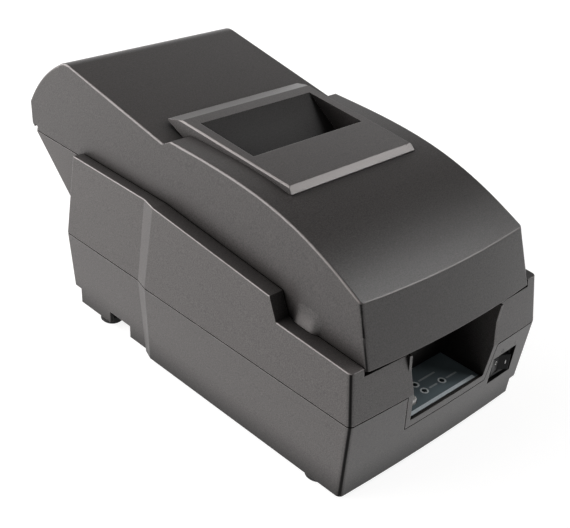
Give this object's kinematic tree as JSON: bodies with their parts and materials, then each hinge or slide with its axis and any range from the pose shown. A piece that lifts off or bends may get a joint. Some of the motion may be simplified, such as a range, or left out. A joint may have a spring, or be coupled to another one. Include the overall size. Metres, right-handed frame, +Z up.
{
  "type": "receipt printer",
  "caption": "Desktop impact receipt printer: raked two-part case, hinged clamshell cover with framed paper exit, recessed front panel, roll bin and print mechanism inside.",
  "frame": {"origin": "on the table under the middle of the printer's overall box", "axes": "+Z up, -Y towards the front with the operator panel, +X to the printer's right seen from the front"},
  "size_m": [0.16, 0.2922, 0.1509],
  "materials": {
    "case_plastic": "fine moulded grain, charcoal grey",
    "panel_plastic": "smooth, near black",
    "overlay_film": "satin film, dark blue-grey",
    "lens_plastic": "clear moulded lens",
    "button_plastic": "smooth, light grey",
    "switch_plastic": "smooth, black",
    "foot_rubber": "matt black",
    "roller_rubber": "ground, black",
    "zinc_steel": "zinc plated sheet",
    "bright_steel": "ground and polished",
    "screw_steel": "zinc plated",
    "motor_steel": "plated can",
    "board_laminate": "green solder mask",
    "capacitor_sleeve": "shrink sleeve",
    "socket_plastic": "moulded black",
    "bin_plastic": "moulded dark grey",
    "gear_plastic": "natural white, self-lubricating",
    "pinion_brass": "machined",
    "head_alloy": "black-anodised casting",
    "ribbon_cloth": "inked nylon cloth"
  },
  "bodies": {
    "chassis": {"lower_case": "case_plastic", "upper_case": "case_plastic", "control_panel": "panel_plastic", "panel_overlay": "overlay_film", "led_lenses": "lens_plastic", "status_leds": "lens_plastic", "power_switch_housing": "switch_plastic", "feed_switch": "switch_plastic", "rubber_feet": "foot_rubber", "timing_belt": "roller_rubber", "mechanism_frame": "zinc_steel", "interface_plate": "zinc_steel", "paper_guide": "zinc_steel", "interface_connector": "zinc_steel", "guide_rail": "zinc_steel", "hinge_pins": "bright_steel", "carriage_shaft": "bright_steel", "gear_stud": "bright_steel", "idler_stud": "bright_steel", "platen_bar": "bright_steel", "case_screws": "screw_steel", "board_screws": "screw_steel", "frame_screws": "screw_steel", "plate_screws": "screw_steel", "carriage_motor": "motor_steel", "feed_motor": "motor_steel", "main_board": "board_laminate", "panel_board": "board_laminate", "board_capacitors": "capacitor_sleeve", "drawer_jack": "socket_plastic", "dc_inlet": "socket_plastic", "panel_cable": "socket_plastic", "roll_bin": "bin_plastic", "ribbon_cassette": "bin_plastic", "roller_bushes": "gear_plastic", "ink_ribbon": "ribbon_cloth"},
    "cover": {"top_cover": "case_plastic", "paper_exit_bezel": "case_plastic", "tear_bar": "bright_steel"},
    "feed_button": {"feed_button": "button_plastic"},
    "power_rocker": {"power_rocker": "switch_plastic"},
    "carriage": {"carriage": "bin_plastic", "print_head": "head_alloy"},
    "drive_pulley": {"drive_pulley": "gear_plastic"},
    "idler_pulley": {"idler_pulley": "gear_plastic"},
    "feed_roller": {"feed_roller": "roller_rubber", "feed_gear": "gear_plastic"},
    "idler_gear": {"idler_gear": "gear_plastic"},
    "motor_pinion": {"motor_pinion": "pinion_brass"},
    "pinch_rollers": {"pinch_rollers": "roller_rubber"},
    "ribbon_knob": {"ribbon_knob": "gear_plastic"}
  },
  "joints": [
    {"name": "cover_hinge", "type": "hinge", "parent": "chassis", "child": "cover", "pos_m": [0, 0.1394, 0.1015], "axis": [-1, 0, 0], "range_deg": [0, 100]},
    {"name": "feed_button_press", "type": "slide", "parent": "chassis", "child": "feed_button", "axis": [0, 0, -1], "range_m": [0, 0.001], "stiffness_N_per_m": 500},
    {"name": "power_switch_rock", "type": "hinge", "parent": "chassis", "child": "power_rocker", "pos_m": [0.0535, -0.1371, 0.0312], "axis": [0, 0, 1], "range_deg": [0, 18]},
    {"name": "carriage_slide", "type": "slide", "parent": "chassis", "child": "carriage", "axis": [1, 0, 0], "range_m": [-0.033, 0.033]},
    {"name": "drive_pulley_spin", "type": "hinge", "parent": "chassis", "child": "drive_pulley", "pos_m": [0.044, -0.0681, 0.084], "axis": [0, 0, 1], "range_deg": [-316, 316]},
    {"name": "idler_pulley_spin", "type": "hinge", "parent": "chassis", "child": "idler_pulley", "pos_m": [-0.044, -0.0681, 0.084], "axis": [0, 0, 1], "range_deg": [-316, 316]},
    {"name": "feed_roller_spin", "type": "hinge", "parent": "chassis", "child": "feed_roller", "pos_m": [0, -0.0099, 0.079], "axis": [1, 0, 0], "continuous": true},
    {"name": "idler_gear_spin", "type": "hinge", "parent": "chassis", "child": "idler_gear", "pos_m": [-0.062, -0.03099, 0.07132], "axis": [1, 0, 0], "continuous": true},
    {"name": "motor_pinion_spin", "type": "hinge", "parent": "chassis", "child": "motor_pinion", "pos_m": [-0.062, -0.04663, 0.07132], "axis": [1, 0, 0], "continuous": true},
    {"name": "pinch_rollers_spin", "type": "hinge", "parent": "chassis", "child": "pinch_rollers", "pos_m": [0, -0.0208, 0.079], "axis": [1, 0, 0], "continuous": true},
    {"name": "ribbon_knob_spin", "type": "hinge", "parent": "chassis", "child": "ribbon_knob", "pos_m": [-0.026, -0.0961, 0.111], "axis": [0, 0, 1], "continuous": true}
  ],
  "couplings": [
    {"joint": "drive_pulley_spin", "follows": "carriage_slide", "rad_per_m": -166.67},
    {"joint": "idler_pulley_spin", "follows": "carriage_slide", "rad_per_m": -166.67},
    {"joint": "idler_gear_spin", "follows": "feed_roller_spin", "ratio": -1.3333},
    {"joint": "motor_pinion_spin", "follows": "feed_roller_spin", "ratio": 2.1333},
    {"joint": "pinch_rollers_spin", "follows": "feed_roller_spin", "ratio": -1.3333}
  ]
}
